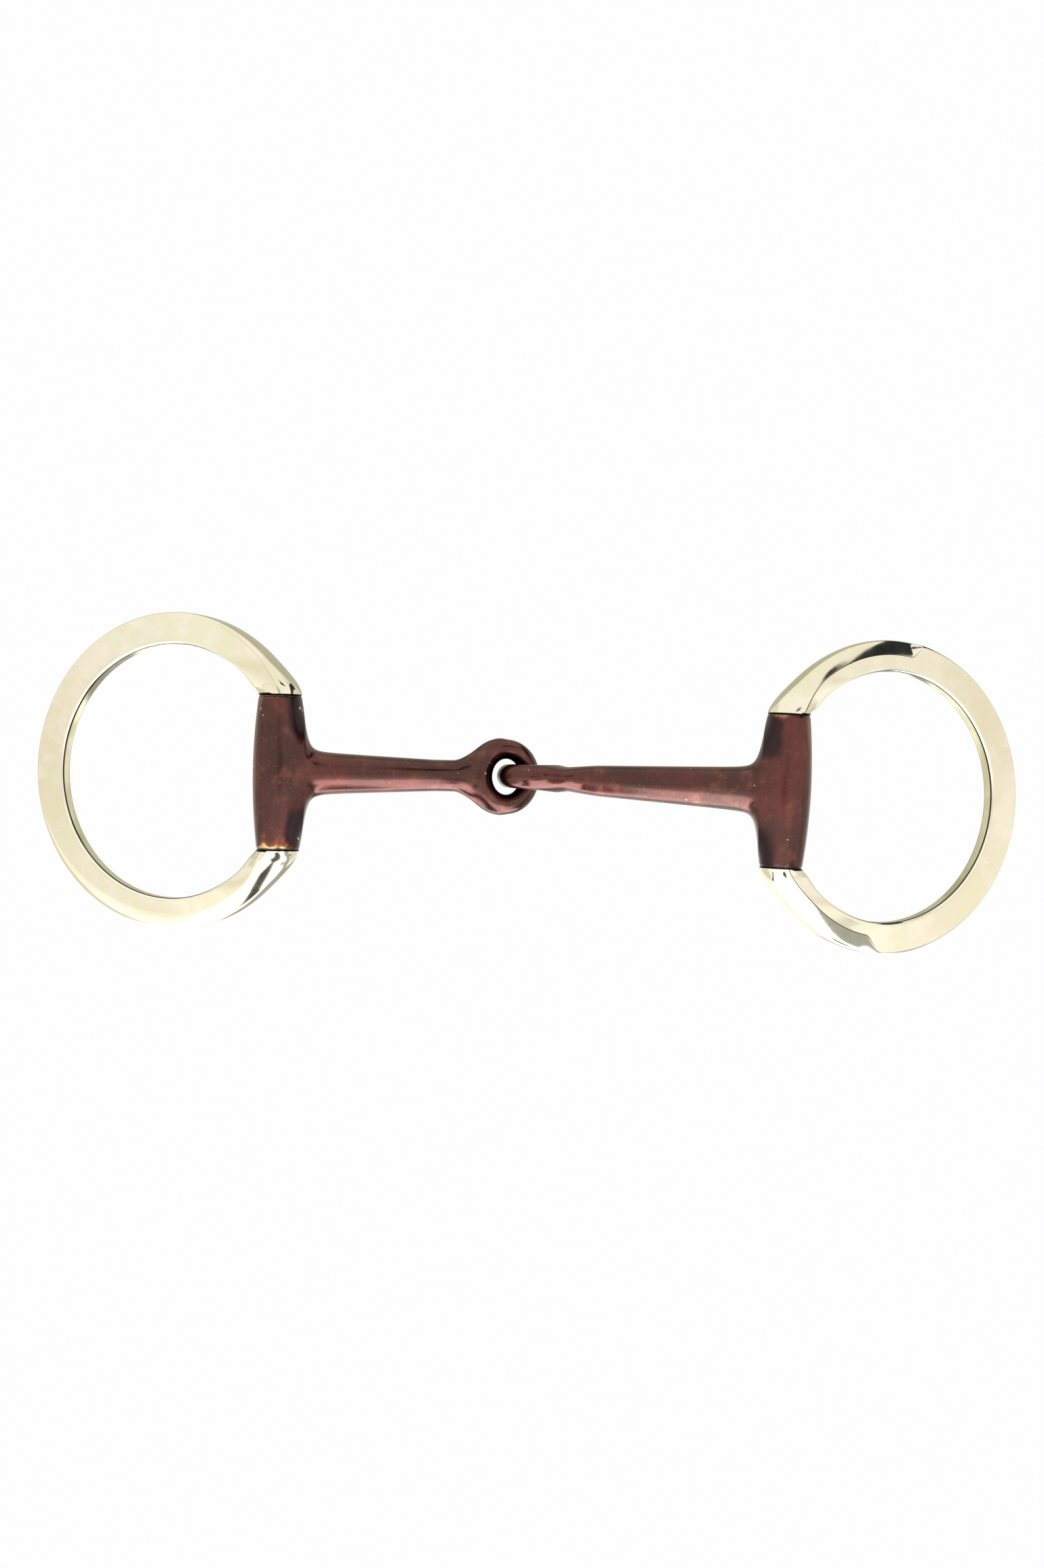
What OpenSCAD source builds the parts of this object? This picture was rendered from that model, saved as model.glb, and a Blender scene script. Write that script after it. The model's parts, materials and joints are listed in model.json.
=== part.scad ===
// Single-jointed eggbutt snaffle bit with flat oval cheek rings.
// Z is up and the bit lies on Z = 0. X runs along the mouthpiece, Y along the barrels.
// The origin is under the middle of the outline. Sizes are in millimetres.

/* [Cheek rings] */
// Height of a ring, along its barrel
ring_height = 88.2; // [80:0.2:96]
// Width of a ring, across its barrel axis
ring_width = 83.2; // [78:0.2:90]
// Width of the flat band at the sides of the ring
band_width = 8.8; // [7:0.1:10]
// Width of the flat band at the far side of the ring
far_band_width = 8.2; // [6:0.1:10]
// Thickness of the flat band
band_thickness = 4.5; // [3.6:0.1:6]
// Radius on the edges of the flat band
band_edge = 0.5; // [0.3:0.1:1.2]
// Distance from the ring's centre to its barrel axis
ring_offset = 31.5; // [30:0.1:33]
// Length over which a shoulder thins from the collar to the flat band
shoulder_length = 46; // [36:1:60]

/* [Barrels] */
// Length of a barrel
barrel_length = 42; // [38:0.5:44]
// Diameter of a barrel at its ends, and of the ring's collars
barrel_end_d = 11.8; // [11:0.1:13]
// Diameter of a barrel at its middle
barrel_mid_d = 14.4; // [13:0.1:16]
// Gap between a barrel end and a ring collar
end_gap = 0.25; // [0.15:0.05:0.5]

/* [Hinge pins] */
// Diameter of a hinge pin
pin_d = 6; // [5:0.1:6.6]
// Radial running clearance of a pin in its barrel
pin_clearance = 0.06; // [0.03:0.01:0.1]
// Depth of a pin's seat in each ring collar
pin_seat = 3; // [2:0.1:3.2]

/* [Mouthpiece arms] */
// Distance from the left barrel axis to the middle of its eye
left_arm = 64; // [58:0.5:72]
// Distance from the right barrel axis to the middle of its eye
right_arm = 71.2; // [64:0.5:78]
// Radius of an arm at its thinnest, near the eye
arm_waist = 4.4; // [3.8:0.1:5]
// Growth of the radius for each millimetre towards the barrel
arm_taper = 0.043; // [0.02:0.001:0.06]
// Height of an arm's bow
arm_bow = 1; // [0:0.1:2]

/* [Eyes] */
// Half length of an eye's core line, along the arm
eye_core_x = 6.8; // [6.4:0.1:8]
// Half width of an eye's core line, across the arm
eye_core_y = 7.75; // [7.4:0.05:8.5]
// Half thickness of an eye's wall, in the plane of the eye
eye_wall = 2.75; // [2.4:0.05:3]
// Half thickness of an eye, across its plane
eye_half_height = 3.2; // [2.8:0.05:3.4]
// Gap between the two eyes where one pulls on the other
eye_gap = 0.25; // [0.15:0.05:0.4]

/* [Rest pose] */
// Height of the barrel axes over the surface
barrel_rise = 25; // [20:0.5:30]
// Turn of the left half about the vertical
left_yaw = -1; // [-5:0.1:5]
// Turn of the right half about the vertical
right_yaw = -3.2; // [-5:0.1:5]

/* [Hidden] */
$fn = 96;

steel = [0.86, 0.82, 0.72];
pin_steel = [0.62, 0.62, 0.64];
copper = [0.34, 0.19, 0.17];

RING_STEPS = 96;    // sections around a ring
CORNER_STEPS = 5;   // facets on each corner of a ring's section
ARM_STEPS = 46;     // sections along an arm
ARM_SIDES = 24;     // points on an arm's section
EYE_STEPS = 48;     // sections around an eye
EYE_SIDES = 20;     // points on an eye's section
SLIVER = 0.04;      // shortest flat left between two corners of a section

collar_r = barrel_end_d / 2;
collar_y = barrel_length / 2 + end_gap;
pin_length = 2 * (collar_y + pin_seat);
ring_arc = 200;     // length of a ring's centre line, from collar to collar
collar_blend = 8;   // length over which the round collar turns into the shoulder
outline_blend = 12; // length over which the outlines leave the sides of the collar
shoulder_bulge = 0.46;   // how steeply the outer outline leaves the collar
bulge_length = 3.5;      // length over which that bulge dies away
rounding_start = 0.3;    // where the rounded outside starts to narrow, as a share of the shoulder's length
rounding_run = 0.75;     // how long it takes to narrow to the band's edge, as a share of it too
rounding_width = 1.24;   // widest rounded outside, in half widths of the section
cut_past = 1;       // how far a bore starts outside the face that it enters
link_pitch = eye_wall + eye_half_height + eye_gap;

function mix(a, b, t) = a + (b - a) * t;
function clamp01(t) = min(1, max(0, t));
function smooth(t) = let (c = clamp01(t)) c * c * (3 - 2 * c);
function turn_z(p, a) = [p.x * cos(a) - p.y * sin(a), p.x * sin(a) + p.y * cos(a), p.z];

// Rest pose. The lower side of the standing eye touches the surface, and both barrels are level.
// The link line's height and the standing eye's lean depend on each other, so they are settled in turns.
left_reach = left_arm + eye_core_x;
right_reach = right_arm + eye_core_x - link_pitch;
function slope_for(height, reach) = asin((barrel_rise - height) / reach);
function eye_on_surface(slope) =
    norm([eye_core_x * sin(slope), eye_core_y * cos(slope)]) + eye_wall
    - (eye_core_x - link_pitch) * sin(slope);
function settled(height, turns) =
    turns == 0 ? height : settled(eye_on_surface(slope_for(height, right_reach)), turns - 1);
link_z = settled(eye_core_y + eye_wall, 6);
left_slope = slope_for(link_z, left_reach);
right_slope = slope_for(link_z, right_reach);
ring_reach = ring_offset + ring_width / 2;
foot = [ring_reach - band_edge, band_thickness / 2 - band_edge];
ring_tilt = asin((barrel_rise - band_edge) / norm(foot)) - atan2(foot.y, foot.x);

left_barrel_0 = turn_z([-left_reach * cos(left_slope), 0, barrel_rise], left_yaw);
right_barrel_0 = turn_z([right_reach * cos(right_slope), 0, barrel_rise], right_yaw);

// Middle of the outline, from the two tilted ellipses of the rings
ring_half_x = ring_width / 2 * cos(ring_tilt);
ring_half_y = ring_height / 2;
function ring_middle(barrel, side, yaw) =
    barrel + turn_z([side * ring_offset * cos(ring_tilt), 0, 0], yaw);
function span_x(yaw) = norm([ring_half_x * cos(yaw), ring_half_y * sin(yaw)]);
function span_y(yaw) = norm([ring_half_x * sin(yaw), ring_half_y * cos(yaw)]);
left_middle = ring_middle(left_barrel_0, -1, left_yaw);
right_middle = ring_middle(right_barrel_0, 1, right_yaw);
middle = [
    (left_middle.x - span_x(left_yaw) + right_middle.x + span_x(right_yaw)) / 2,
    (left_middle.y + span_y(left_yaw) + right_middle.y - span_y(right_yaw)) / 2,
    0
];
left_barrel = left_barrel_0 - middle;
right_barrel = right_barrel_0 - middle;
link_axis = [0, 0, link_z] - middle;

// Faces that join rows of points into a closed loop, or into a tube with two end caps
function strip(i, j, n) = [for (k = [0 : n - 1])
    each [[i * n + k, i * n + (k + 1) % n, j * n + k],
          [i * n + (k + 1) % n, j * n + (k + 1) % n, j * n + k]]];
function loop_faces(rows, n) = [for (i = [0 : rows - 1]) each strip(i, (i + 1) % rows, n)];
function tube_faces(rows, n) = concat(
    [[for (k = [n - 1 : -1 : 0]) k]],
    [for (i = [0 : rows - 2]) each strip(i, i + 1, n)],
    [[for (k = [0 : n - 1]) (rows - 1) * n + k]]);

// Section of a ring: a rectangle whose outer and inner corners are quarter ellipses.
// w and h are half sizes, out and in are the two corners' half axes.
function corner(cx, cy, r, from) = [for (k = [0 : CORNER_STEPS])
    let (a = from + 90 * k / CORNER_STEPS) [cx + r.x * cos(a), cy + r.y * sin(a)]];
function section(w, h, out, in) = concat(
    corner(w - out.x, h - out.y, out, 0),
    corner(in.x - w, h - in.y, in, 90),
    corner(in.x - w, in.y - h, in, 180),
    corner(w - out.x, out.y - h, out, 270));

// Outer and inner outlines of a ring about its own centre, s along it from the nearer collar
ring_a = ring_width / 2;
ring_b = ring_height / 2;
hole_a = ring_a - far_band_width;
hole_b = ring_b - band_width;
outer_start = asin(collar_y / ring_b);
inner_start = asin(collar_y / hole_b);
outer_step = ring_offset + collar_r - ring_a * cos(outer_start);
inner_step = ring_offset - collar_r - hole_a * cos(inner_start);
function outer_point(t, s) =
    let (a = mix(outer_start, 360 - outer_start, t), bulge = shoulder_bulge * s * exp(-s / bulge_length))
    [ring_a * cos(a) + outer_step * (1 - smooth(s / outline_blend)) + bulge, ring_b * sin(a)];
function inner_point(t, s) =
    let (a = mix(inner_start, 360 - inner_start, t))
    [hole_a * cos(a) + inner_step * (1 - smooth(s / outline_blend)), hole_b * sin(a)];

// One row of a ring's points: a round collar at the barrel, then a shoulder with a flat inner
// band and a round outside, then the flat band
function ring_row(t) =
    let (
        s = min(t, 1 - t) * ring_arc,
        o = outer_point(t, s),
        i = inner_point(t, s),
        w = norm(o - i) / 2,
        dir = (o - i) / (2 * w),
        mid = (o + i) / 2,
        h = mix(collar_r, band_thickness / 2, smooth(s / shoulder_length)),
        past = smooth(s / collar_blend),
        rounding = 1 - smooth((s / shoulder_length - rounding_start) / rounding_run),
        out = [mix(w - SLIVER, mix(band_edge, rounding_width * w, rounding), past),
               min(h - SLIVER, mix(band_edge, h, rounding))],
        in = [mix(w - SLIVER, band_edge, past), mix(h - SLIVER, band_edge, past)]
    )
    [for (p = section(w, h, out, in)) [mid.x + dir.x * p.x, mid.y + dir.y * p.x, p.y]];

module ring_body() {
    sides = 4 * (CORNER_STEPS + 1);
    points = [for (k = [0 : RING_STEPS]) each ring_row(k / RING_STEPS)];
    difference() {
        translate([-ring_offset, 0, 0])
            polyhedron(points, tube_faces(RING_STEPS + 1, sides), convexity = 6);
        for (side = [0, 180]) rotate([side - 90, 0, 0])
            translate([0, 0, collar_y - cut_past]) cylinder(r = pin_d / 2, h = pin_seat + cut_past);
    }
}

module pin_body() {
    rotate([90, 0, 0]) cylinder(r = pin_d / 2, h = pin_length, center = true);
}

// Barrel: a barrel-shaped tube about Y with chamfered ends
barrel_chamfer = 0.4;
chamfer_reach = 3;  // how far each chamfer line runs on, past the barrel's side
barrel_sagitta = (barrel_mid_d - barrel_end_d) / 2;
barrel_arc_r = (pow(barrel_length / 2, 2) + pow(barrel_sagitta, 2)) / (2 * barrel_sagitta);
module barrel_body() {
    half = barrel_length / 2;
    rotate([90, 0, 0]) rotate_extrude() intersection() {
        translate([barrel_mid_d / 2 - barrel_arc_r, 0]) circle(r = barrel_arc_r, $fn = 720);
        polygon([[0, -half], [collar_r - barrel_chamfer, -half],
                 [collar_r + chamfer_reach, barrel_chamfer + chamfer_reach - half],
                 [collar_r + chamfer_reach, half - chamfer_reach - barrel_chamfer],
                 [collar_r - barrel_chamfer, half], [0, half]]);
    }
}

// Half width of an arm in the plane of its eye and across it, x from the barrel axis and
// e from there to the middle of the eye
arm_start = 2;      // distance from the barrel axis at which an arm's own solid starts
arm_end = 5.7;      // distance from the middle of the eye at which it ends
taper_from = 21;    // where the taper starts, from the middle of the eye
flare_from = 12.6;  // where the arm starts to widen into the eye
flare_run = 4.5;
eye_flare = 2.2;
neck_from = 8.5;    // where the arm's end starts to close inside the eye
neck_run = 3.6;
neck_share = 0.45;  // width left at the closed end, as a share
neck_thinning = 0.5;
flat_run = 16;      // length over which the arm thins to the eye's height
flat_from = 6;
root_width = 6.1;   // extra half width of the fillet where an arm meets its barrel
root_x = 6.7;
root_run = 1.35;
root_flat = 6;      // inside this distance the fillet grows no wider
root_limit = 8;
root_tail = 0.5;    // a slower part of the same fillet
root_tail_run = 6;
swell_height = 0.5; // the fillet's rise over the barrel
swell_run = 8;
end_crowding = 0.75;     // how much closer an arm's sections stand at its two ends
function arm_radius(e) = arm_waist + arm_taper * max(0, e - taper_from);
function root_fillet(x) =
    root_width * exp(-(max(root_flat, x) - root_x) / root_run)
    + root_tail * exp(-(x - root_x) / root_tail_run);
function root_swell(x) = swell_height * exp(-x / swell_run);
function neck_close(e) = 1 - smooth((neck_from - e) / neck_run);
function in_eye_plane(e) =
    (arm_radius(e) + eye_flare * smooth((flare_from - e) / flare_run)) * mix(neck_share, 1, neck_close(e));
function across_eye(e) =
    arm_radius(e) - (arm_waist - eye_half_height) * (1 - smooth((e - flat_from) / flat_run))
    - neck_thinning * (1 - neck_close(e));
function arm_row(x, length, flat_eye) =
    let (
        e = length - x,
        y = (flat_eye ? in_eye_plane(e) : across_eye(e)) + min(root_limit, root_fillet(x)),
        z = (flat_eye ? across_eye(e) : in_eye_plane(e)) + root_swell(x),
        lift = arm_bow * pow(sin(180 * x / length), 2)
    )
    [for (k = [0 : ARM_SIDES - 1])
        let (a = 360 * k / ARM_SIDES) [x, y * sin(a), z * cos(a) + lift]];

// The sections stand closer at both ends, where the arm's width changes quickly
function arm_place(t, length) = mix(arm_start, length - arm_end, mix(t, smooth(t), end_crowding));
module arm_body(length, flat_eye) {
    points = [for (k = [0 : ARM_STEPS]) each arm_row(arm_place(k / ARM_STEPS, length), length, flat_eye)];
    polyhedron(points, tube_faces(ARM_STEPS + 1, ARM_SIDES), convexity = 4);
}

// Eye: an oval ring with an oval section, flat in XY
function eye_row(a) =
    let (core = [eye_core_x * cos(a), eye_core_y * sin(a)],
         out = [eye_core_y * cos(a), eye_core_x * sin(a)],
         dir = out / norm(out))
    [for (k = [0 : EYE_SIDES - 1])
        let (b = 360 * k / EYE_SIDES, r = core + dir * eye_wall * cos(b))
        [r.x, r.y, eye_half_height * sin(b)]];
module eye_body() {
    points = [for (k = [0 : EYE_STEPS - 1]) each eye_row(360 * k / EYE_STEPS)];
    polyhedron(points, loop_faces(EYE_STEPS, EYE_SIDES), convexity = 4);
}

module mouthpiece_body(length, flat_eye) {
    difference() {
        union() {
            barrel_body();
            arm_body(length, flat_eye);
            translate([length, 0, 0]) rotate([flat_eye ? 0 : 90, 0, 0]) eye_body();
        }
        rotate([90, 0, 0])
            cylinder(r = pin_d / 2 + pin_clearance, h = barrel_length + 2 * cut_past, center = true);
    }
}

// Placing: each half is built with its barrel axis on Y, its arm towards +X and its ring towards -X
module place_left(pitch)
    translate(left_barrel) rotate([0, 0, left_yaw]) rotate([0, pitch, 0]) children();
module place_right(pitch)
    translate(right_barrel) rotate([0, 0, right_yaw + 180]) rotate([0, pitch, 0]) children();

module left_ring() color(steel) place_left(-ring_tilt) ring_body();
module right_ring() color(steel) place_right(-ring_tilt) ring_body();
module left_hinge_pin() color(pin_steel) place_left(-ring_tilt) pin_body();
module right_hinge_pin() color(pin_steel) place_right(-ring_tilt) pin_body();
module left_mouthpiece() color(copper) place_left(left_slope) mouthpiece_body(left_arm, true);
module right_mouthpiece() color(copper) place_right(right_slope) mouthpiece_body(right_arm, false);

left_ring();
left_hinge_pin();
left_mouthpiece();
right_mouthpiece();
right_hinge_pin();
right_ring();
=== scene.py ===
"""A single-jointed eggbutt snaffle bit: two polished flat cheek rings on a red-brown copper mouthpiece.

The CAD frame gives the joints. Each half is built in its own space, in metres, with its barrel axis
on Y, its arm towards +X and its ring towards -X, and is then placed on its body.
"""
import json
import math

import bpy
import numpy as np
from mathutils import Matrix, Vector


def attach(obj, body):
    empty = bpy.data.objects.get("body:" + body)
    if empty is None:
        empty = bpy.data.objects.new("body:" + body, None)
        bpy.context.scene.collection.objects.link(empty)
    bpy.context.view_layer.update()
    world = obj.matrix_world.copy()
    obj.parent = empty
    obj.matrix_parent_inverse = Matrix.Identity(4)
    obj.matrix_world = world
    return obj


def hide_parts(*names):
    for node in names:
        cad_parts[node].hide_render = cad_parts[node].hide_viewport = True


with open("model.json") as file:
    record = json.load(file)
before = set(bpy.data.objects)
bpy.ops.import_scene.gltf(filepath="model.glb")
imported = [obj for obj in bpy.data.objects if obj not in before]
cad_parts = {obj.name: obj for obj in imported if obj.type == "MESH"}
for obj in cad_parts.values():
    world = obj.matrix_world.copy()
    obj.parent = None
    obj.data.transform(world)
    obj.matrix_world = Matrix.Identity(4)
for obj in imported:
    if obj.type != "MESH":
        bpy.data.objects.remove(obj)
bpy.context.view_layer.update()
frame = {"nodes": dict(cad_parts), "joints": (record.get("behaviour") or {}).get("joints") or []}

MM = 0.001

# ---------------------------------------------------------------- sizes, as in the CAD design
RING_A, RING_B = 41.6 * MM, 44.1 * MM          # half width and half height of a ring
BAND, FAR_BAND = 8.8 * MM, 8.2 * MM            # width of the flat band at its sides, and far out
BAND_HALF = 2.25 * MM                          # half its thickness
BAND_EDGE = 0.5 * MM
INNER_EDGE = 0.85 * MM                         # the hole's edges are dressed rounder
RING_OFFSET = 31.5 * MM                        # from the barrel's axis to the ring's centre
SHOULDER = 46 * MM                             # length from the collar over which a ring thins to the band
BARREL_HALF = 21 * MM
BARREL_END_R, BARREL_MID_R = 5.9 * MM, 7.2 * MM
END_GAP = 0.25 * MM                            # between a barrel's end and the collar
PIN_R, PIN_CLEARANCE, PIN_SEAT = 3 * MM, 0.06 * MM, 3 * MM
ARM_LENGTH = {"left": 64 * MM, "right": 71.2 * MM}   # from the barrel's axis to the eye's centre
ARM_WAIST, ARM_TAPER, ARM_BOW = 4.4 * MM, 0.043, 1 * MM
EYE_X, EYE_Y = 6.8 * MM, 7.75 * MM             # half axes of an eye's oval centre line
EYE_WALL, EYE_HALF = 2.75 * MM, 3.2 * MM       # half its width round the hole, and half its thickness
EYE_GAP = 0.25 * MM                            # between the two linked eyes
COLLAR_Y = BARREL_HALF + END_GAP

# ---------------------------------------------------------------- places, from the frame's joints
joints = {j["name"]: j for j in frame["joints"]}
left_barrel = Vector(joints["left_cheek_hinge"]["pos_m"])
right_barrel = Vector(joints["right_cheek_hinge"]["pos_m"])
link = Vector(joints["mouth_fold"]["pos_m"])


def yaw_of(axis):
    """Turn about the vertical that takes Y to this level axis, whichever way it points."""
    x, y = (axis[0], axis[1]) if axis[1] > 0 else (-axis[0], -axis[1])
    return math.atan2(-x, y)


left_yaw = yaw_of(joints["left_cheek_hinge"]["axis"])
right_yaw = yaw_of(joints["right_cheek_hinge"]["axis"])
left_slope = math.asin((left_barrel.z - link.z) / (ARM_LENGTH["left"] + EYE_X))
right_reach = ARM_LENGTH["right"] + EYE_X - (EYE_WALL + EYE_HALF + EYE_GAP)
right_slope = math.asin((right_barrel.z - link.z) / right_reach)
foot = Vector((RING_OFFSET + RING_A - BAND_EDGE, BAND_HALF - BAND_EDGE))
ring_tilt = math.asin((left_barrel.z - BAND_EDGE) / foot.length) - math.atan2(foot.y, foot.x)


def placing(side, pitch):
    """From a half's own space to the row frame, with its +X pitched down by this angle."""
    barrel, yaw = (left_barrel, left_yaw) if side == "left" else (right_barrel, right_yaw + math.pi)
    return Matrix.Translation(barrel) @ Matrix.Rotation(yaw, 4, "Z") @ Matrix.Rotation(pitch, 4, "Y")


# ---------------------------------------------------------------- small helpers
def mix(a, b, t):
    return a + (b - a) * t


def smooth(t):
    c = np.clip(t, 0.0, 1.0)
    return c * c * (3 - 2 * c)


def smooth_min(a, b, k):
    h = np.clip(0.5 + 0.5 * (b - a) / k, 0, 1)
    return mix(b, a, h) - k * h * (1 - h)


def smooth_max(a, b, k):
    return -smooth_min(-a, -b, k)


def mark(mesh, name, values):
    """Gives each point of the mesh a number that a material reads under this name."""
    layer = mesh.attributes.new(name, "FLOAT", "POINT")
    layer.data.foreach_set("value", np.asarray(values).astype(np.float32))


# ---------------------------------------------------------------- cheek rings, swept
RING_ROWS = 560
RING_ARC = 200 * MM      # length of a ring's centre line, from collar to collar
CURVE_POINTS, FACE_POINTS, EDGE_POINTS = 30, 8, 13
LINE = 0.12 * MM         # how closely the shading follows the crease

# How a shoulder changes away from its collar, each feature over a run of its own.
ROUND_RUN = 3.5 * MM                           # the collar's full round
NECK_RUN = 12 * MM                             # the narrowing to the barrel's width
CREASE_RUN = 14 * MM                           # the crease's way from its first place to its second
CURVE_DROP, CURVE_DROP_RUN = 0.88, 20 * MM     # fall of the outside's curve past its run, in half heights
FACE_LEAN, FACE_LEAN_RUN = 0.18, 26 * MM       # fall of the flat face to the hole, in half heights
EDGE_ACROSS, EDGE_ACROSS_RUN = 0.34, 16 * MM   # inner edge's rounding, in half widths
EDGE_DOWN, EDGE_DOWN_RUN = 0.62, 30 * MM       # and in half heights
BULGE, BULGE_RUN = 0.46, 3.5 * MM              # swelling of the outline just past the collar
SEAT_MOUTH, SEAT_CHAMFER = 0.1 * MM, 0.15 * MM    # how much wider a pin's seat is at its mouth, and how deep

# How each shoulder was ground, from the collar at +Y to the one at -Y of the ring's own space. The crease
# between the flat band and the rounded outside goes from its first place to its second, as shares of the
# half width, and runs out at the outer edge over the given length. Then come the curve's fullness, how
# far it has turned at the crease, in degrees (90 leaves no edge there), and how dark the shade painted
# along the crease is.
DRESSING = {
    "left": ((0.34, 0.62, 8 * MM, 36 * MM, 2.2, 66, 0.5), (-0.45, 0.0, 44 * MM, 60 * MM, 2.0, 88, 0)),
    "right": ((0.06, -0.12, 33 * MM, 8 * MM, 2.9, 66, 0.8), (-0.30, 0.06, 44 * MM, 5 * MM, 2.3, 66, 1)),
}


def half_section(w, h, s, dressing):
    """Upper half of a ring's section, from the outer side to the inner: a curve, the flat face, an edge."""
    first, second, start, length, fullness, crease_turn, _ = dressing
    ran_out = float(smooth((s - start) / length))
    ground = float(smooth(s / ROUND_RUN))
    crease = mix(mix(first, second, smooth(s / CREASE_RUN)), 1 - BAND_EDGE / w, ran_out) * w
    drop = mix(mix(h, CURVE_DROP * h, smooth(s / CURVE_DROP_RUN)), BAND_EDGE, ran_out)
    turn = np.linspace(0, 1, CURVE_POINTS) * mix(math.radians(crease_turn), math.pi / 2, ran_out)
    power = 2 / mix(fullness, 2, ran_out)
    across, up = np.cos(turn) ** power, np.sin(turn) ** power
    curve_u = crease + (w - crease) * (across - across[-1]) / (1 - across[-1])
    curve_v = h - drop + drop * up / up[-1]
    edge_turn = np.linspace(math.pi / 2, math.pi, EDGE_POINTS)
    lean = FACE_LEAN * h * (1 - smooth(s / FACE_LEAN_RUN))
    edge_across = mix(EDGE_ACROSS * w, INNER_EDGE, smooth(s / EDGE_ACROSS_RUN))
    edge_down = mix(EDGE_DOWN * h, INNER_EDGE, smooth(s / EDGE_DOWN_RUN))
    edge_u = edge_across - w + edge_across * np.cos(edge_turn)
    edge_v = h - lean - edge_down + edge_down * np.sin(edge_turn)
    share = np.concatenate([[LINE / (crease - edge_u[0])], np.linspace(0, 1, FACE_POINTS + 1)[1:-1]])
    face_u, face_v = mix(crease, edge_u[0], share), mix(h, edge_v[0], share)
    cut = np.stack([np.concatenate([curve_u, face_u, edge_u]), np.concatenate([curve_v, face_v, edge_v])])
    crease_angle, edge_angle = math.acos(first), math.radians(143)
    angle = np.concatenate([np.linspace(0, crease_angle, CURVE_POINTS),
                            mix(crease_angle, edge_angle, share),
                            np.linspace(edge_angle, math.pi, EDGE_POINTS)])
    whole = np.stack([w * np.cos(angle), h * np.sin(angle)])
    return mix(whole, cut, ground)


def ring_row(side, t):
    """A section of a ring at t along it, from one collar to the other, about the ring's own centre."""
    hole_a, hole_b = RING_A - FAR_BAND, RING_B - BAND
    outer_start, inner_start = math.asin(COLLAR_Y / RING_B), math.asin(COLLAR_Y / hole_b)
    s = min(t, 1 - t) * RING_ARC
    a = mix(outer_start, 2 * math.pi - outer_start, t)
    b = mix(inner_start, 2 * math.pi - inner_start, t)
    near = 1 - smooth(s / NECK_RUN)
    outer_step = RING_OFFSET + BARREL_END_R - RING_A * math.cos(outer_start)
    inner_step = RING_OFFSET - BARREL_END_R - hole_a * math.cos(inner_start)
    bulge = BULGE * s * math.exp(-s / BULGE_RUN)
    outer = np.array([RING_A * math.cos(a) + outer_step * near + bulge, RING_B * math.sin(a)])
    inner = np.array([hole_a * math.cos(b) + inner_step * near, hole_b * math.sin(b)])
    w = np.linalg.norm(outer - inner) / 2
    out_dir, middle = (outer - inner) / (2 * w), (outer + inner) / 2
    h = mix(BARREL_END_R, BAND_HALF, smooth(s / SHOULDER))
    u, v = half_section(w, h, s, DRESSING[side][0 if t < 0.5 else 1])
    u, v = np.concatenate([u, u[::-1]]), np.concatenate([v, -v[::-1]])
    return np.stack([middle[0] + out_dir[0] * u, middle[1] + out_dir[1] * u, v], axis=1)


def seat_rows(sign, count):
    """The pin's seat in a collar: from its mouth to its floor."""
    angle = np.linspace(0, 2 * math.pi, count, endpoint=False)
    rows = []
    for radius, depth in ((PIN_R + SEAT_MOUTH, 0), (PIN_R, SEAT_CHAMFER), (PIN_R, PIN_SEAT)):
        y = np.full(count, sign * (COLLAR_Y + depth))
        rows.append(np.stack([RING_OFFSET + radius * np.cos(angle), y, radius * np.sin(angle)], axis=1))
    return rows


def crease_shade_marks(side, row_count, count):
    """Darkness of the shade painted along the crease between curve and flat face, above and below; 0
    elsewhere.
    """
    marks = np.zeros((row_count, count))
    seats = (row_count - RING_ROWS - 1) // 2
    for row in range(RING_ROWS + 1):
        t = row / RING_ROWS
        s = min(t, 1 - t) * RING_ARC
        start, length, painted_shade = [DRESSING[side][0 if t < 0.5 else 1][k] for k in (2, 3, 6)]
        fade = 1 - smooth((s - start - 0.4 * length) / (0.6 * length))
        marks[seats + row, [CURVE_POINTS - 1, count - CURVE_POINTS]] = painted_shade * fade
    return marks.ravel()


def lengths_along(points):
    """How far each point of a row is from the first, along the row."""
    return np.concatenate([[0], np.cumsum(np.linalg.norm(np.diff(points, axis=0), axis=1))])


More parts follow.
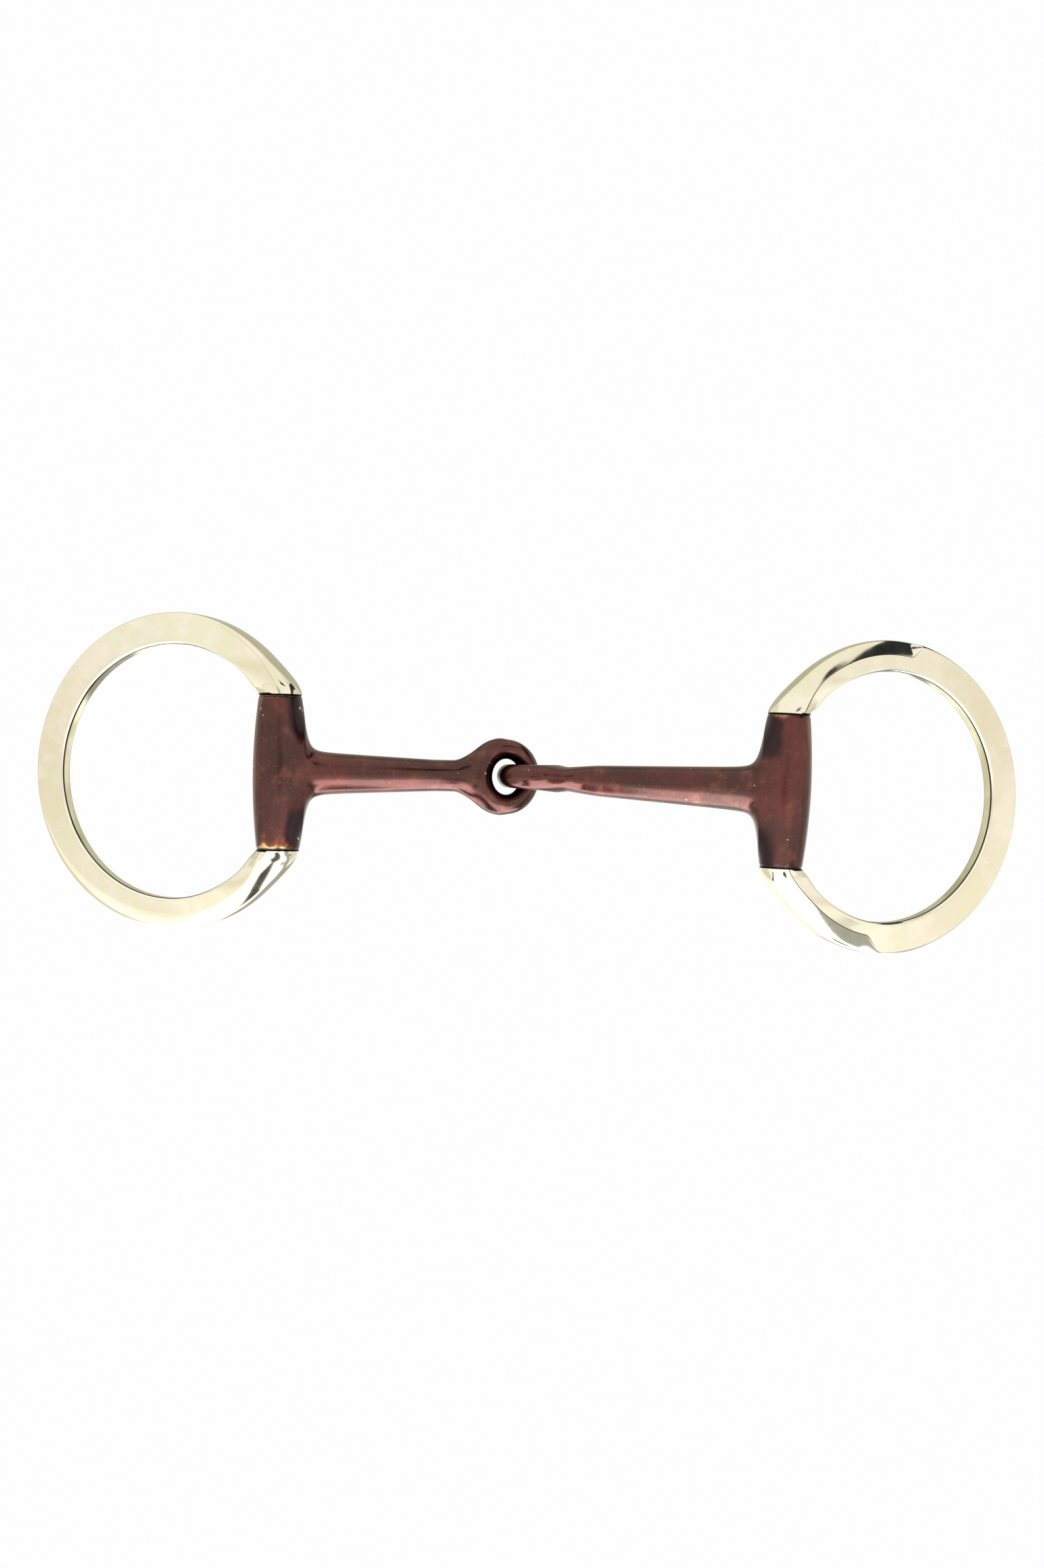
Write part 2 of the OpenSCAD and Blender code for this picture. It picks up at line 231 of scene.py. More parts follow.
def ring_mesh(name, side):
    """A ring about its barrel's axis, with its UV in metres along and round the band."""
    rows = [ring_row(side, k / RING_ROWS) for k in range(RING_ROWS + 1)]
    count = len(rows[0])
    around = lengths_along(rows[RING_ROWS // 2])
    rows = seat_rows(1, count)[::-1] + rows + seat_rows(-1, count)
    points = np.concatenate(rows)
    points[:, 0] -= RING_OFFSET
    along = lengths_along([row.mean(0) for row in rows])
    faces, uvs = [], []
    for i in range(len(rows) - 1):
        for k in range(count):
            n = (k + 1) % count
            faces.append((i * count + k, i * count + n, (i + 1) * count + n, (i + 1) * count + k))
            uvs.extend([(along[i], around[k]), (along[i], around[n]),
                        (along[i + 1], around[n]), (along[i + 1], around[k])])
    last = (len(rows) - 1) * count
    faces.append(tuple(range(count - 1, -1, -1)))
    faces.append(tuple(range(last, last + count)))
    uvs.extend([(0, 0)] * (2 * count))
    mesh = bpy.data.meshes.new(name)
    mesh.from_pydata(points.tolist(), [], faces)
    layer = mesh.uv_layers.new(name="band")
    layer.data.foreach_set("uv", np.array(uvs, dtype=np.float32).ravel())
    # How far into the hole's edge each point of a section lies. The material paints a highlight, a shade
    # line and a duller wall by it.
    inside = np.zeros(count)
    edge = np.linspace(0, 1, EDGE_POINTS)
    inside[count // 2 - EDGE_POINTS:count // 2 + EDGE_POINTS] = np.concatenate([edge, edge[::-1]])
    # The collar's end and its first rows get painted shade for the gap at the barrel's end.
    at_collar = (np.abs(np.abs(points[:, 1]) - COLLAR_Y) < 0.30 * MM) & (np.abs(points[:, 0]) < 8 * MM)
    mark(mesh, "inner_wall_highlight_and_shade", np.tile(inside, len(rows)))
    mark(mesh, "gap_shade", at_collar)
    # A shade line painted along the crease.
    mark(mesh, "crease", crease_shade_marks(side, len(rows), count))
    return mesh


# ---------------------------------------------------------------- mouthpieces, from an implicit forging
NET_STEP = 0.42 * MM     # cell size of the net that meshes it
NET_MARGIN = 1 * MM      # room round the forging in which the net is laid
NET_HALF_HEIGHT, NET_BACK = 11.6 * MM, 8.2 * MM
FILM_POINTS = 96

# The arm, by x from the barrel's axis and by e from the eye's centre.
TAPER_START = 21 * MM                          # e at which the arm's taper begins
FLARE, FLARE_START, FLARE_RUN = 4.6 * MM, 15.5 * MM, 11 * MM    # widening towards the eye, in its plane
FLAT_END, FLAT_RUN = 6 * MM, 16 * MM           # e where the arm is as thin as the eye, and the change's run
ROOT_X = 6.7 * MM                              # x at which the fillet at the barrel has the widths below
ROOT_FLAT, ROOT_LIMIT = 6 * MM, 8 * MM         # x inside which it grows no more, and its greatest width
ROOT_WIDTH, ROOT_FALL = 5.6 * MM, 1.35 * MM    # the fillet, and how fast it falls off
TAIL_WIDTH, TAIL_FALL = 0.4 * MM, 6 * MM       # its slower part
SWELL, SWELL_FALL = 0.4 * MM, 8 * MM           # extra half height at the barrel, and its fall-off
EYE_FILLET, BARREL_FILLET = 2.6 * MM, 3.0 * MM
END_ROUND, BORE_ROUND = 0.7 * MM, 0.3 * MM
HOLE_CUT, HOLE_ROUND = 0.6 * MM, 0.8 * MM      # the arm stops this far outside an eye's centre line


def barrel_radius(y):
    sagitta = BARREL_MID_R - BARREL_END_R
    arc = (BARREL_HALF ** 2 + sagitta ** 2) / (2 * sagitta)
    return BARREL_MID_R - arc + np.sqrt(np.maximum(arc ** 2 - y ** 2, 0))


def arm_sizes(x, length, flat_eye):
    """Half width along Y, half height along Z and the bow's lift, x from the barrel axis."""
    e = length - x
    radius = ARM_WAIST + ARM_TAPER * np.maximum(0, e - TAPER_START)
    in_plane = radius + FLARE * smooth((FLARE_START - e) / FLARE_RUN)
    across = radius - (ARM_WAIST - EYE_HALF) * (1 - smooth((e - FLAT_END) / FLAT_RUN))
    root = ROOT_WIDTH * np.exp(-(np.maximum(ROOT_FLAT, x) - ROOT_X) / ROOT_FALL)
    root = root + TAIL_WIDTH * np.exp(-(x - ROOT_X) / TAIL_FALL)
    swell = SWELL * np.exp(-x / SWELL_FALL)
    lift = ARM_BOW * np.sin(math.pi * np.clip(x / length, 0, 1)) ** 2
    wide, tall = (in_plane, across) if flat_eye else (across, in_plane)
    return wide + np.minimum(ROOT_LIMIT, root), tall + swell, lift


def eye_core(x, y, z, length, flat_eye):
    """How far outside an eye's oval centre line, seen along its hole, and how far above its plane."""
    p, q, r = (x - length, y, z) if flat_eye else (x - length, z, y)
    g = np.sqrt((p / EYE_X) ** 2 + (q / EYE_Y) ** 2) + 1e-9
    slope = np.sqrt((p / EYE_X ** 2) ** 2 + (q / EYE_Y ** 2) ** 2) + 1e-9
    return (g - 1) * g / slope, r


def forging(points, length, flat_eye):
    """Below zero inside the mouthpiece, above zero outside, and about a distance near its surface."""
    x, y, z = points[..., 0], points[..., 1], points[..., 2]
    rho = np.sqrt(x * x + z * z)
    barrel = rho - barrel_radius(y)
    xc = np.clip(x, 2 * MM, length - 3 * MM)
    wide, tall, lift = arm_sizes(xc, length, flat_eye)
    reach = np.sqrt((y / wide) ** 2 + ((z - lift) / tall) ** 2 + ((x - xc) / tall) ** 2)
    arm = (reach - 1) * np.minimum(wide, tall)
    core, r = eye_core(x, y, z, length, flat_eye)
    arm = smooth_max(arm, HOLE_CUT - core, HOLE_ROUND)
    eye = (np.sqrt((core / EYE_WALL) ** 2 + (r / EYE_HALF) ** 2) - 1) * EYE_WALL
    solid = smooth_min(smooth_min(arm, eye, EYE_FILLET), barrel, BARREL_FILLET)
    solid = smooth_max(solid, np.abs(y) - BARREL_HALF, END_ROUND)
    return smooth_max(solid, PIN_R + PIN_CLEARANCE - rho, BORE_ROUND)


def gradient(field, points, step=0.02 * MM):
    """Slope of the field at each point, by central differences."""
    out = np.empty_like(points)
    for axis in range(3):
        d = np.zeros(3)
        d[axis] = step
        out[:, axis] = (field(points + d) - field(points - d)) / (2 * step)
    return out


def onto_surface(field, points, rounds=3):
    """Moves points down the slope to where the field is zero."""
    for _ in range(rounds):
        g = gradient(field, points)
        points = points - g * (field(points) / np.maximum((g * g).sum(1), 1e-6))[:, None]
    return points


def surface_net(field, low, high, step):
    """A closed quad mesh of the field's zero level: one point in each cell that the surface crosses."""
    axes = [np.arange(a, b + step, step) for a, b in zip(low, high)]
    grid = np.stack(np.meshgrid(*axes, indexing="ij"), axis=-1)
    level = field(grid)
    sign = level < 0
    shape = tuple(n - 1 for n in sign.shape)
    total, hits = np.zeros(shape + (3,)), np.zeros(shape)
    for axis in range(3):
        others = [a for a in range(3) if a != axis]
        for da in (0, 1):
            for db in (0, 1):
                start = [slice(0, -1)] * 3
                start[others[0]] = slice(da, da + shape[others[0]])
                start[others[1]] = slice(db, db + shape[others[1]])
                end = list(start)
                end[axis] = slice(1, None)
                start, end = tuple(start), tuple(end)
                a, b = level[start], level[end]
                cross = sign[start] != sign[end]
                part = np.where(cross, a / np.where(cross, a - b, 1), 0)[..., None]
                total += np.where(cross[..., None], grid[start] + part * (grid[end] - grid[start]), 0)
                hits += cross
    used = hits > 0
    index = np.full(shape, -1)
    index[used] = np.arange(used.sum())
    points = total[used] / hits[used][:, None]
    faces = []
    for axis in range(3):
        others = [(axis + 1) % 3, (axis + 2) % 3]
        start = [slice(1, n) for n in shape]
        start[axis] = slice(0, shape[axis])
        end = list(start)
        end[axis] = slice(1, shape[axis] + 1)
        first, second = sign[tuple(start)], sign[tuple(end)]
        cells = []
        for da, db in ((0, 0), (1, 0), (1, 1), (0, 1)):
            part = [slice(0, n) for n in shape]
            part[others[0]] = slice(1 - da, shape[others[0]] - da)
            part[others[1]] = slice(1 - db, shape[others[1]] - db)
            part[axis] = slice(0, shape[axis])
            cells.append(index[tuple(part)])
        quads = np.stack(cells, axis=-1)
        out_of = first & ~second
        into = second & ~first
        faces.append(quads[out_of][:, ::-1])
        faces.append(quads[into])
    return points, np.concatenate(faces)


def relax(field, points, faces, rounds):
    """Evens the net out along the surface."""
    edges = np.concatenate([faces[:, [k, (k + 1) % 4]] for k in range(4)])
    degree = np.bincount(edges.ravel(), minlength=len(points))[:, None]
    for _ in range(rounds):
        total = np.zeros_like(points)
        for axis in range(3):
            total[:, axis] = np.bincount(edges[:, 0], points[edges[:, 1], axis], len(points))
            total[:, axis] += np.bincount(edges[:, 1], points[edges[:, 0], axis], len(points))
        points = onto_surface(field, mix(points, total / degree, 0.6), 1)
    return onto_surface(field, points, 2)


def mouthpiece_mesh(name, side):
    """One half of the mouthpiece, with a black sheet of painted shade in the gaps at its barrel's ends."""
    length, flat_eye = ARM_LENGTH[side], side == "left"

    def field(p):
        return forging(p, length, flat_eye)

    reach = length + EYE_X + EYE_WALL + NET_MARGIN
    low = np.array([-NET_BACK, -BARREL_HALF - NET_MARGIN, -NET_HALF_HEIGHT])
    high = np.array([reach, BARREL_HALF + NET_MARGIN, NET_HALF_HEIGHT])
    points, faces = surface_net(field, low, high, NET_STEP)
    points = relax(field, onto_surface(field, points), faces, 6)
    faces = faces.tolist()
    # A black sheet in each gap at the barrel's ends: painted shade.
    for sign in (1, -1):
        film_points, film_faces = gap_shade_sheet(sign, len(points))
        points, faces = np.concatenate([points, film_points]), faces + film_faces
    mesh = bpy.data.meshes.new(name)
    mesh.from_pydata(points.tolist(), [], faces)
    add_wear_and_shade(mesh, points, side)
    return mesh


def gap_shade_sheet(sign, first):
    """A black sheet of painted shade on a barrel's end, which fills most of the gap to the collar."""
    angle = np.linspace(0, 2 * math.pi, FILM_POINTS, endpoint=False)
    rim, bore = BARREL_END_R - 0.15 * MM, PIN_R + 0.2 * MM
    low, high = BARREL_HALF - 0.5 * MM, COLLAR_Y - 0.04 * MM
    rows = [np.stack([r * np.cos(angle), np.full(FILM_POINTS, sign * y), r * np.sin(angle)], axis=1)
            for r, y in ((bore, low), (rim, low), (rim, high), (bore, high))]
    faces = []
    for i in range(4):
        for k in range(FILM_POINTS):
            n, j = (k + 1) % FILM_POINTS, (i + 1) % 4
            quad = [row * FILM_POINTS + point for row, point in ((i, k), (i, n), (j, n), (j, k))]
            faces.append([first + q for q in (quad if sign < 0 else quad[::-1])])
    return np.concatenate(rows), faces


# How far the wear reaches from a barrel's ends, +Y first, and the side that it is on, as an angle in
# degrees from the arm, over the top.
END_WEAR = {"left": (1.1 * MM, 5.0 * MM, 114), "right": (0.3 * MM, 1.3 * MM, 76)}


def add_wear_and_shade(mesh, points, side):
    """Marks for the alloy: patina rubbed off the barrel's ends, darker patina with a painted dark reflection
    beside the arm's root, and painted shade in the eye's hole and in the gaps."""
    x, y, z = points.T
    turn, rho = np.arctan2(z, x), np.hypot(x, z)
    plus_depth, minus_depth, middle = END_WEAR[side]
    worn_side = np.clip(np.cos(turn - math.radians(middle)), 0, 1) ** 5
    depth = np.where(y > 0, plus_depth, minus_depth) * (0.12 + 0.88 * worn_side)
    ends = np.exp(-(BARREL_HALF - np.abs(y)) / depth) * (rho > PIN_R + 0.5 * MM)
    # Beside the arm's root: partly darker patina, partly a painted dark reflection.
    arm_side = smooth((np.cos(turn - math.radians(25)) - 0.30) / 0.7) * (rho < BARREL_MID_R + 1.5 * MM)
    core, _ = eye_core(x, y, z, ARM_LENGTH[side], side == "left")
    # The eye's hole wall: painted shade.
    hole_wall_shade = smooth((-core / EYE_WALL - 0.25) / 0.45)
    mark(mesh, "end_wear", np.clip(ends, 0, 1))
    mark(mesh, "tarnish_and_shade", np.maximum(arm_side * smooth((np.abs(y) - 5 * MM) / (9 * MM)), hole_wall_shade))
    # The barrel's last 0.42 mm and the sheet in the gap: painted shade.
    mark(mesh, "gap_shade", np.abs(y) > BARREL_HALF - 0.42 * MM)


# ---------------------------------------------------------------- material helpers
class Nodes:
    """Short calls for making shader nodes."""

    def __init__(self, owner):
        """For a new material with this name, or for the world given."""
        self.owner = bpy.data.materials.new(owner) if isinstance(owner, str) else owner
        self.owner.use_nodes = True
        self.tree = self.owner.node_tree
        self.shader = self.tree.nodes.get("Principled BSDF")

    def add(self, kind, inputs=None, **settings):
        node = self.tree.nodes.new("ShaderNode" + kind)
        for key, value in settings.items():
            setattr(node, key, value)
        for key, value in (inputs or {}).items():
            self.put(node.inputs[key], value)
        return node

    def put(self, socket, value):
        if isinstance(value, bpy.types.NodeSocket):
            self.tree.links.new(value, socket)
        else:
            socket.default_value = value

    def fix(self, **values):
        """Sets shader inputs that are the same all over the surface."""
        for key, value in values.items():
            self.shader.inputs[key.replace("_", " ")].default_value = value

    def mark(self, name):
        """The numbers that the mesh keeps under this name."""
        return self.add("Attribute", attribute_name=name).outputs["Fac"]

    def noise(self, vector, scale, detail, roughness):
        node = self.add("TexNoise", {"Scale": scale, "Detail": detail, "Roughness": roughness})
        self.put(node.inputs["Vector"], vector)
        return node.outputs["Fac"]

    def stretch(self, vector, scale):
        node = self.add("Mapping", {"Scale": scale})
        self.put(node.inputs["Vector"], vector)
        return node.outputs["Vector"]

    def ramp(self, value, low, high, to_low=0.0, to_high=1.0, smoothly=True):
        limits = {"From Min": low, "From Max": high, "To Min": to_low, "To Max": to_high}
        node = self.add("MapRange", limits, interpolation_type="SMOOTHSTEP" if smoothly else "LINEAR")
        self.put(node.inputs["Value"], value)
        return node.outputs["Result"]

    def blend(self, amount, first, second):
        node = self.add("Mix", data_type="RGBA")
        self.put(node.inputs["Factor"], amount)
        self.put(node.inputs["A"], first)
        self.put(node.inputs["B"], second)
        return node.outputs["Result"]

    def maths(self, operation, a, b):
        node = self.add("Math", operation=operation)
        self.put(node.inputs[0], a)
        self.put(node.inputs[1], b)
        return node.outputs[0]

    def bump(self, height, distance, strength, after=None):
        node = self.add("Bump", {"Distance": distance, "Strength": strength})
        self.put(node.inputs["Height"], height)
        if after is not None:
            self.put(node.inputs["Normal"], after)
        return node.outputs["Normal"]


def ring_steel():
    n = Nodes("polished_ring_steel")
    place = n.add("TexCoord").outputs["Object"]
    band = n.add("UVMap", uv_map="band").outputs["UV"]
    lines = n.noise(n.stretch(band, (60, 260, 1)), 1.0, 4.0, 0.6)
    haze = n.noise(place, 110, 4.0, 0.6)
    broad = n.noise(place, 30, 2.0, 0.5)
    warped = n.noise(place, 75, 5.0, 0.65)
    pits = n.noise(place, 900, 2.0, 0.5)
    edge = n.mark("inner_wall_highlight_and_shade")
    crease = n.mark("crease")
    gap_shade = n.mark("gap_shade")
    tone = n.blend(n.ramp(broad, 0.38, 0.62), (0.82, 0.755, 0.60, 1), (0.87, 0.83, 0.69, 1))
    tone = n.blend(n.ramp(warped, 0.50, 0.56, 0.0, 0.5), tone, (0.80, 0.77, 0.555, 1))
    tone = n.blend(n.ramp(warped, 0.47, 0.42, 0.0, 0.55), tone, (0.92, 0.85, 0.73, 1))
    tone = n.blend(n.ramp(haze, 0.52, 0.72, 0.0, 0.35), tone, (0.93, 0.90, 0.78, 1))
    # Painted light at the hole's edge: a painted highlight where the face turns in, then a painted shade
    # line, then a duller olive wall, partly a less polished wall and partly painted shade.
    tone = n.blend(n.ramp(edge, 0.05, 0.25, 0.0, 0.8), tone, (0.96, 0.93, 0.84, 1))
    tone = n.blend(n.ramp(edge, 0.42, 0.60), tone, (0.06, 0.055, 0.035, 1))
    wall = n.blend(n.ramp(haze, 0.40, 0.60), (0.72, 0.68, 0.46, 1), (0.92, 0.88, 0.66, 1))
    tone = n.blend(n.ramp(edge, 0.90, 0.99), tone, wall)
    # A dark line painted along the crease: painted shade.
    tone = n.blend(n.ramp(crease, 0.15, 0.7, 0.0, 0.9), tone, (0.07, 0.06, 0.045, 1))
    # Near black at the collar: painted shade in the gap to the barrel.
    tone = n.blend(n.ramp(gap_shade, 0.2, 0.6), tone, (0.01, 0.008, 0.006, 1))
    n.put(n.shader.inputs["Base Color"], tone)
    n.fix(Metallic=1.0)
    rough = n.maths("ADD", n.ramp(haze, 0.3, 0.75, 0.08, 0.15), n.ramp(lines, 0.45, 0.75, 0.0, 0.05))
    n.put(n.shader.inputs["Roughness"], rough)
    wave = n.bump(broad, 0.00025, 0.5)
    facets = n.bump(warped, 0.00006, 0.35, wave)
    fine = n.bump(lines, 0.00001, 0.3, facets)
    n.put(n.shader.inputs["Normal"], n.bump(n.ramp(pits, 0.70, 0.80), 0.00001, -0.25, fine))
    return n.owner


def pin_steel():
    n = Nodes("drawn_pin_steel")
    place = n.add("TexCoord").outputs["Object"]
    draw = n.noise(n.stretch(place, (900, 30, 900)), 1.0, 3.0, 0.6)
    n.put(n.shader.inputs["Base Color"], n.blend(draw, (0.42, 0.42, 0.43, 1), (0.58, 0.58, 0.60, 1)))
    n.fix(Metallic=1.0)
    n.put(n.shader.inputs["Roughness"], n.ramp(draw, 0.3, 0.7, 0.28, 0.42))
    n.put(n.shader.inputs["Normal"], n.bump(draw, 0.00001, 0.4))
    return n.owner


def mouth_alloy():
    n = Nodes("patinated_copper_alloy")
    place = n.add("TexCoord").outputs["Object"]
    clouds = n.noise(place, 48, 4.0, 0.55)
    mottle = n.noise(place, 190, 5.0, 0.6)
    grain = n.noise(place, 1300, 3.0, 0.6)
    specks = n.noise(place, 560, 1.0, 0.4)
    wear = n.mark("end_wear")
    tarnish_and_shade = n.mark("tarnish_and_shade")
    gap_shade = n.mark("gap_shade")
    brown, red, warm = (0.068, 0.026, 0.021, 1), (0.135, 0.034, 0.031, 1), (0.25, 0.10, 0.068, 1)
    tone = n.blend(n.ramp(clouds, 0.35, 0.65), brown, red)
    tone = n.blend(n.ramp(mottle, 0.50, 0.76, 0.0, 0.5), tone, warm)
    tone = n.blend(n.ramp(grain, 0.55, 0.75, 0.0, 0.35), tone, (0.20, 0.12, 0.09, 1))
    # Near black beside the arm's root, partly darker patina and partly a painted dark reflection, and in the
    # eye's hole, painted shade.
    ragged_tarnish_and_shade = n.maths("ADD", tarnish_and_shade, n.ramp(clouds, 0.35, 0.65, -0.35, 0.35, False))
    tone = n.blend(n.ramp(ragged_tarnish_and_shade, 0.15, 0.75, 0.0, 0.92), tone, (0.018, 0.006, 0.010, 1))
    tone = n.blend(n.ramp(specks, 0.765, 0.785), tone, (0.55, 0.42, 0.34, 1))
    ragged = n.maths("ADD", wear, n.ramp(mottle, 0.3, 0.7, -0.28, 0.28, False))
    tone = n.blend(n.ramp(ragged, 0.35, 0.75, 0.0, 0.55), tone, (0.42, 0.11, 0.05, 1))
    tone = n.blend(n.ramp(ragged, 0.62, 0.92), tone, (0.83, 0.62, 0.30, 1))
    # Near black at the barrel's ends and on the sheet in the gap: painted shade.
    tone = n.blend(n.ramp(gap_shade, 0.2, 0.7), tone, (0.01, 0.006, 0.005, 1))
    n.put(n.shader.inputs["Base Color"], tone)
    n.fix(Metallic=1.0)
    rough = n.maths("ADD", n.ramp(clouds, 0.3, 0.7, 0.20, 0.28), n.ramp(mottle, 0.4, 0.8, 0.0, 0.08))
    n.put(n.shader.inputs["Roughness"], rough)
    n.fix(Coat_Weight=0.45, Coat_Roughness=0.16)
    cast = n.bump(clouds, 0.0002, 0.30)
    skin = n.bump(mottle, 0.00005, 0.40, cast)
    n.put(n.shader.inputs["Normal"], n.bump(grain, 0.00001, 0.35, skin))
    return n.owner


# ---------------------------------------------------------------- pieces
def finish_piece(name, mesh, matrix, material, body, node, sharp):
    """Puts a mesh in place on its body, instead of a CAD node; edges over sharp degrees stay sharp."""
    mesh.transform(matrix)
    mesh.materials.append(material)
    mesh.shade_smooth()
    if sharp:
        mesh.set_sharp_from_angle(angle=math.radians(sharp))
    mesh.validate()
    piece = bpy.data.objects.new(name, mesh)
    bpy.context.scene.collection.objects.link(piece)
    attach(piece, body)
    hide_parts(node)


steel, rod, copper = ring_steel(), pin_steel(), mouth_alloy()
for side, slope in (("left", left_slope), ("right", right_slope)):
    finish_piece(f"{side}_cheek_ring", ring_mesh(f"{side}_cheek_ring", side), placing(side, -ring_tilt),
                 steel, f"{side}_cheek", f"{side}_ring", 35)
    finish_piece(f"{side}_mouthpiece_forging", mouthpiece_mesh(f"{side}_mouthpiece_forging", side),
                 placing(side, slope), copper, f"{side}_arm", f"{side}_mouthpiece", None)
    pin = frame["nodes"][f"{side}_hinge_pin"]
    for material_slot in pin.material_slots:
        material_slot.material = rod


# ---------------------------------------------------------------- floor, light and camera
ROOM_HALF = 5.0
FLOOR_Z = -1.5     # low enough for every pose, as the folded mouthpiece hangs below its rest position
PAPER_GLOW = 0.985
BLACK, WHITE = (0.02, 0.025, 0.028), (1.35, 1.35, 1.30)
CARD_ROWS, CARD_STEPS = 4, 24


def glowing(name, colour, strength):
    """A material that only gives out light, and mirrors none."""
    n = Nodes(name)
    n.fix(Base_Color=(0, 0, 0, 1), Specular_IOR_Level=0)
    n.fix(Emission_Color=(*colour, 1), Emission_Strength=strength)
    return n.owner


def studio_piece(name, points, faces, material, hidden_from):
    """Something of the studio, which these kinds of rays don't see."""
    mesh = bpy.data.meshes.new(name)
    mesh.from_pydata(points, [], faces)
    mesh.materials.append(material)
    piece = bpy.data.objects.new(name, mesh)
    bpy.context.scene.collection.objects.link(piece)
    for ray in hidden_from:
        setattr(piece, f"visible_{ray}", False)


def floor(paper):
    corners = [(x * ROOM_HALF, y * ROOM_HALF, FLOOR_Z) for x, y in ((-1, -1), (1, -1), (1, 1), (-1, 1))]
    studio_piece("studio_floor", corners, [(0, 1, 2, 3)], paper, ["glossy"])


def backdrop(paper):
    """A plain white box all round, which only the camera sees."""
    ends = (-ROOM_HALF, ROOM_HALF)
    corners = [(x, y, z) for x in ends for y in ends for z in ends]
    faces = [(0, 1, 3, 2), (4, 6, 7, 5), (0, 4, 5, 1), (2, 3, 7, 6), (0, 2, 6, 4), (1, 5, 7, 3)]
    studio_piece("white_backdrop", corners, faces, paper, ["glossy", "diffuse", "shadow"])


def studio_card(name, colour, seen_from, distance, axis, towards, shares, turns):
    """A curved card that only reflections show. As seen from a place on the object, it fills the
    directions with these shares along the axis that are turned about it by these degrees from the
    middle direction."""
    strip, middle = Vector(axis).normalized(), Vector(towards)
    across = (middle - middle.dot(strip) * strip).normalized()
    up = strip.cross(across)
    if up.z < 0:
        up = -up
    points = []
    for i in range(CARD_ROWS):
        share = mix(*shares, i / (CARD_ROWS - 1))
        for k in range(CARD_STEPS + 1):
            turn = math.radians(mix(*turns, k / CARD_STEPS))
            level = math.cos(turn) * across + math.sin(turn) * up
            way = share * strip + math.sqrt(1 - share * share) * level
            points.append(tuple(seen_from + distance * way))
    row = CARD_STEPS + 1
    faces = [(i * row + k, i * row + k + 1, (i + 1) * row + k + 1, (i + 1) * row + k)
             for i in range(CARD_ROWS - 1) for k in range(CARD_STEPS)]
    studio_piece(name, points, faces, glowing(name, colour, 1), ["camera", "diffuse", "shadow"])


# What the polished steel sees around it: a room of one colour, and zones of others. Each zone is laid over
# those before it, where all of its (axis, low, high, softness) limits hold for a direction's share along
# the axis. ANY stands for no limit.
ANY = 9
NORTH, SOUTH, EAST, WEST = (0, 1, 0), (0, -1, 0), (1, 0, 0), (-1, 0, 0)
UP, DOWN = (0, 0.03, 1), (0, 0, -1)
SOUTH_LAMP = (0, -0.894, 0.447)
OVERHEAD_SPOT = (0.14, -0.44, 0.89)
EAST_STRIP = (0.947, -0.053, -0.316)      # axes of the long strips that cross a ring's shoulders
SOUTH_STRIP = (0.934, 0.350, 0.076)
ROOM = (0.925, 0.885, 0.79)
LOW_SIDE, LOW_SIDE_EDGE = (0.30, 0.28, 0.25), (0.84, 0.81, 0.72)
SURROUNDINGS = (
    ((1.06, 1.04, 0.97), ((NORTH, 0.06, ANY, 0.06),)),
    ((0.55, 0.54, 0.44), ((DOWN, 0.28, ANY, 0.12),)),
    (LOW_SIDE, ((EAST, 0.80, ANY, 0.10), (UP, -ANY, 0.10, 0.12))),
    (LOW_SIDE, ((WEST, 0.80, ANY, 0.10), (UP, -ANY, 0.10, 0.12))),
    ((1.20, 1.17, 1.10), ((SOUTH, 0.05, ANY, 0.12),)),
    ((1.55, 1.55, 1.50), ((SOUTH_LAMP, 0.60, ANY, 0.14),)),
    ((5.1, 5.4, 5.3), ((SOUTH, 0.46, ANY, 0.10), (UP, -0.45, 0.74, 0.12), (EAST, -0.55, 0.55, 0.10))),
    (LOW_SIDE_EDGE, ((EAST, 0.64, ANY, 0.08), (UP, -ANY, 0.16, 0.10))),
    (LOW_SIDE_EDGE, ((WEST, 0.64, ANY, 0.08), (UP, -ANY, 0.16, 0.10))),
    ((0.02, 0.025, 0.025),
     ((EAST_STRIP, 0.14, 0.46, 0.03), (NORTH, 0.50, 0.72, 0.02), (UP, 0.55, 0.80, 0.03))),
    ((0.44, 0.45, 0.43), ((EAST_STRIP, 0.33, 0.72, 0.03), (SOUTH, 0.26, 0.82, 0.03))),
    ((0.03, 0.04, 0.05), ((OVERHEAD_SPOT, 0.994, ANY, 0.002),)),
    ((0.60, 0.56, 0.52), ((UP, 0.985, ANY, 0.010),)),
)


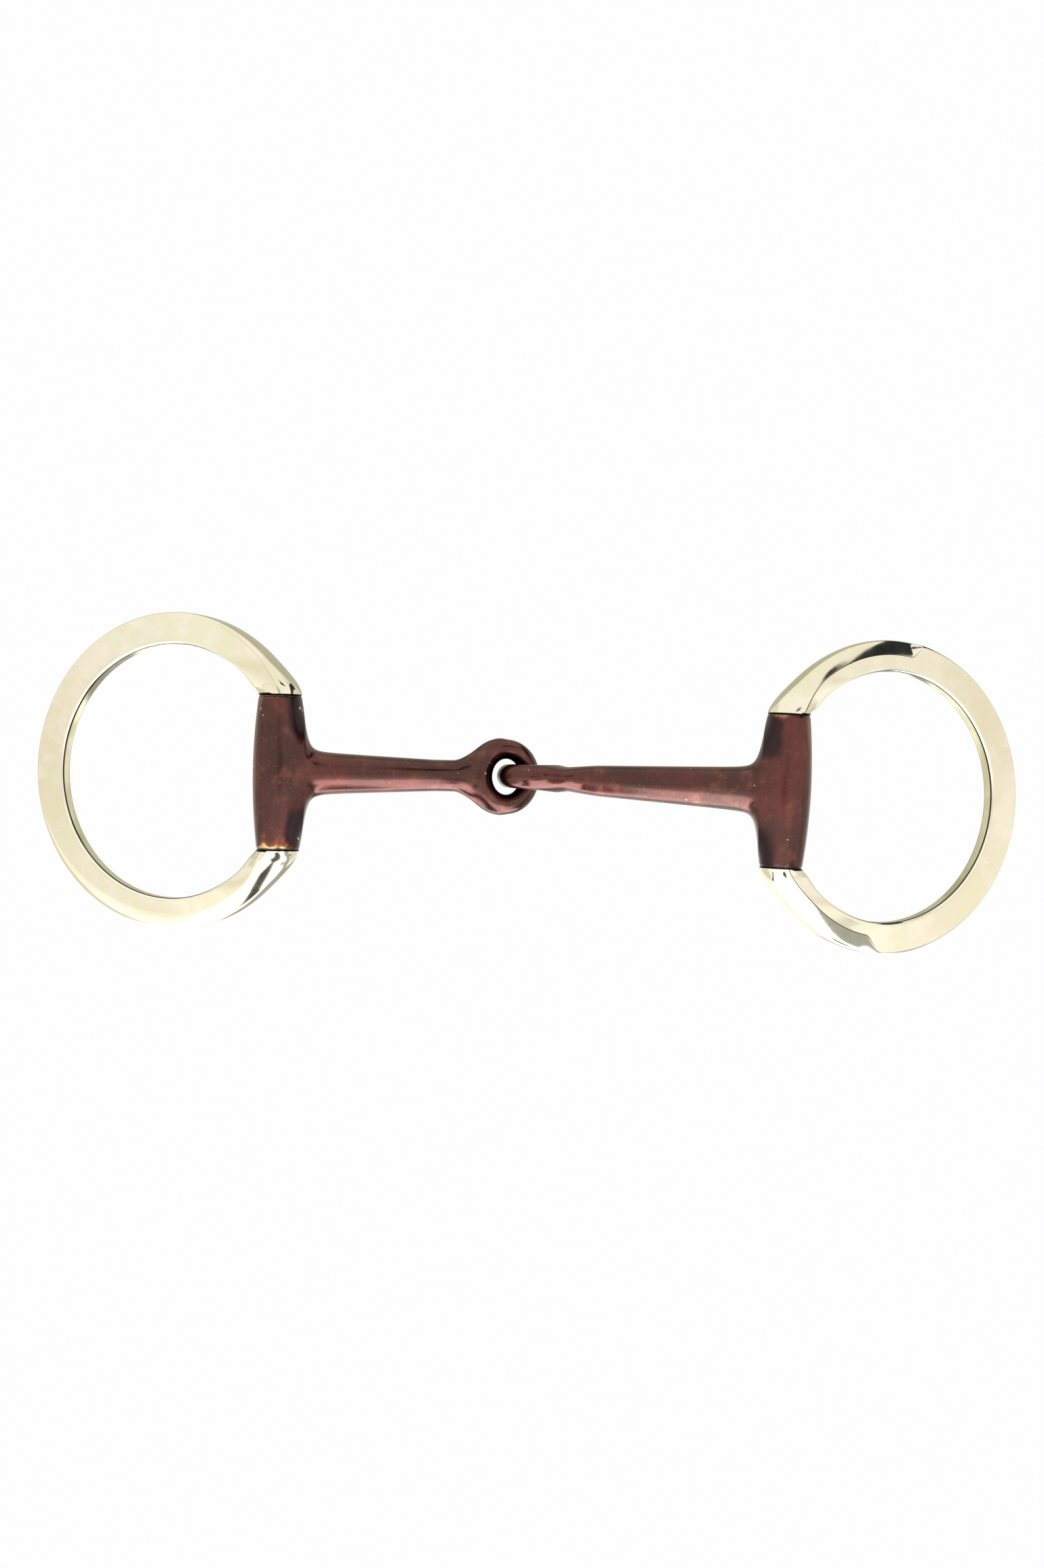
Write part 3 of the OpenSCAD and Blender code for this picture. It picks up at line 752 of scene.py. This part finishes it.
def sky():
    """The room and its zones, as the world's light."""
    world = bpy.data.worlds.new("studio")
    bpy.context.scene.world = world
    n = Nodes(world)
    direction = n.add("TexCoord").outputs["Generated"]

    def within(axis, low, high, softness):
        dot = n.add("VectorMath", {0: direction, 1: Vector(axis).normalized()}, operation="DOT_PRODUCT")
        share = dot.outputs["Value"]
        return n.maths("MULTIPLY", n.ramp(share, low - softness, low + softness),
                       n.ramp(share, high + softness, high - softness))

    colour = (*ROOM, 1)
    for tint, limits in SURROUNDINGS:
        amount = within(*limits[0])
        for limit in limits[1:]:
            amount = n.maths("MULTIPLY", amount, within(*limit))
        colour = n.blend(amount, colour, (*tint, 1))
    n.put(n.tree.nodes["Background"].inputs["Color"], colour)


CAMERA_DISTANCE = 0.585    # from the camera to the height of the barrels
VIEW_TURN = math.radians(1.8)
VIEW_AIM = Vector((-3 * MM, 0, left_barrel.z))
PICTURE_HEIGHT = 0.4318    # height of the whole picture at the barrels
SENSOR_MM = 36


def camera():
    """Looks down at the bit, from a little to the left."""
    data = bpy.data.cameras.new("camera")
    data.sensor_fit = "VERTICAL"
    data.sensor_height = SENSOR_MM
    data.lens = SENSOR_MM * CAMERA_DISTANCE / PICTURE_HEIGHT
    view = bpy.data.objects.new("camera", data)
    view.location = VIEW_AIM + CAMERA_DISTANCE * Vector((-math.sin(VIEW_TURN), 0, math.cos(VIEW_TURN)))
    view.rotation_euler = (0, -VIEW_TURN, 0)
    bpy.context.scene.collection.objects.link(view)
    bpy.context.scene.camera = view


paper = glowing("white_paper", (1, 1, 1), PAPER_GLOW)
floor(paper)
backdrop(paper)
sky()
left_lower = left_barrel + Vector((-8 * MM, -32 * MM, 0))
right_upper = right_barrel + Vector((RING_OFFSET, RING_B, 0))
right_lower = right_barrel + Vector((20 * MM, -42 * MM, 0))
studio_card("left_lower_white", WHITE, left_lower, 0.125, SOUTH_STRIP, SOUTH, (-0.34, 0.18), (-20, 68))
studio_card("left_lower_black", BLACK, left_lower, 0.12, SOUTH_STRIP, SOUTH, (-0.21, 0.08), (-12, 60))
studio_card("right_upper_black", BLACK, right_upper, 0.3, EAST_STRIP, NORTH, (0.44, 0.74), (-26, 72))
studio_card("right_lower_black", BLACK, right_lower, 0.12, EAST_STRIP, SOUTH, (0.10, 0.36), (-2, 16))
bpy.context.scene.view_settings.view_transform = "Standard"
camera()
